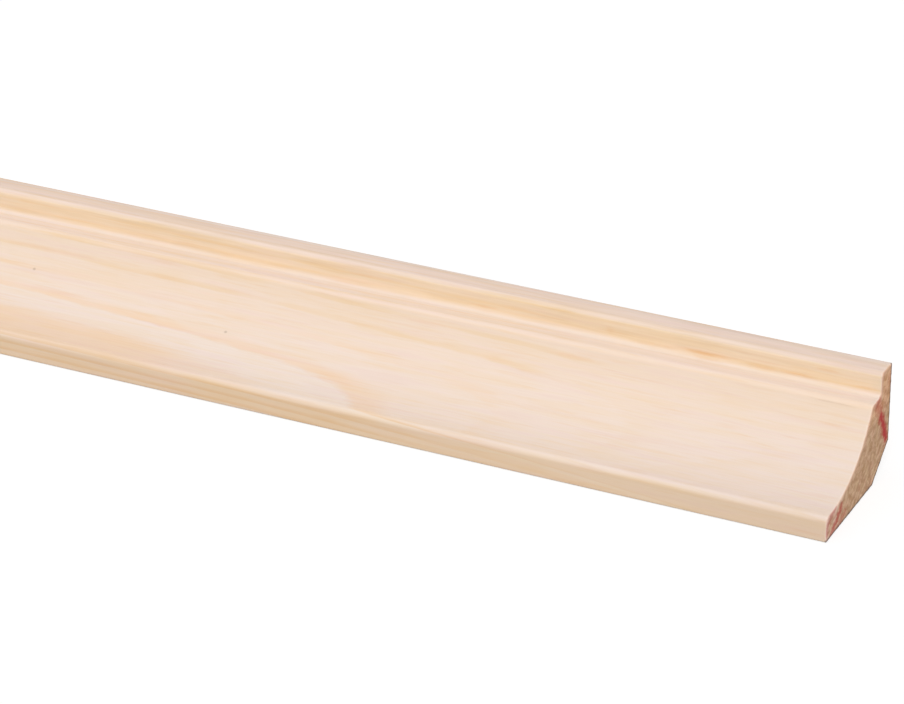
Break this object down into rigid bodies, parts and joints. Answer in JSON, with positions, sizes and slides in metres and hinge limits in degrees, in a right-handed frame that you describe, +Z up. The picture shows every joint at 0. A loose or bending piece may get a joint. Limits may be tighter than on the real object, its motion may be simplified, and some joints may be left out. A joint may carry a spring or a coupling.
{
  "type": "cornice moulding",
  "caption": "Length of planed softwood cornice moulding: a wide cove between a square toe and a stepped fascia, with flat wall and ceiling faces at the back joined by a bevel.",
  "frame": {"origin": "on the floor, under the middle of the length and the middle of the section's depth", "axes": "+X along the length; +Z up from the floor, away from the wall face; +Y out of the ceiling face; the moulded front faces -Y and up"},
  "size_m": [2.4, 0.046, 0.032],
  "materials": {
    "pine": "planed, unfinished; red paint strokes on the sawn face of one end"
  },
  "bodies": {
    "root": {"cornice_moulding": "pine"}
  },
  "joints": []
}
